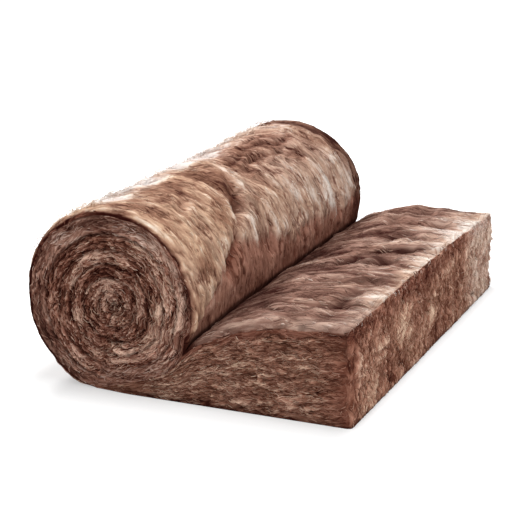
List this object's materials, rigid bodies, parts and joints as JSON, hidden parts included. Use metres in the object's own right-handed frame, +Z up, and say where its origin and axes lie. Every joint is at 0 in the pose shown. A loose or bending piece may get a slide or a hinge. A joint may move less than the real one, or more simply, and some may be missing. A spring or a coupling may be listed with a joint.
{
  "type": "insulation roll",
  "caption": "Roll of unfaced mineral wool insulation blanket, part unrolled, so that the free end lies flat beside the wound roll and swells to its full thickness.",
  "frame": {"origin": "on the floor under the middle of the whole piece's bounding box", "axes": "+Y along the roll's axis and across the blanket's width, +X along the blanket from the roll to the cut end, +Z up"},
  "size_m": [0.865, 1.2, 0.455],
  "materials": {
    "mineral_wool": "matte brown fibrous wool, paler on the skins and redder on the cut faces"
  },
  "bodies": {
    "root": {"wool_blanket": "mineral_wool"}
  },
  "joints": []
}
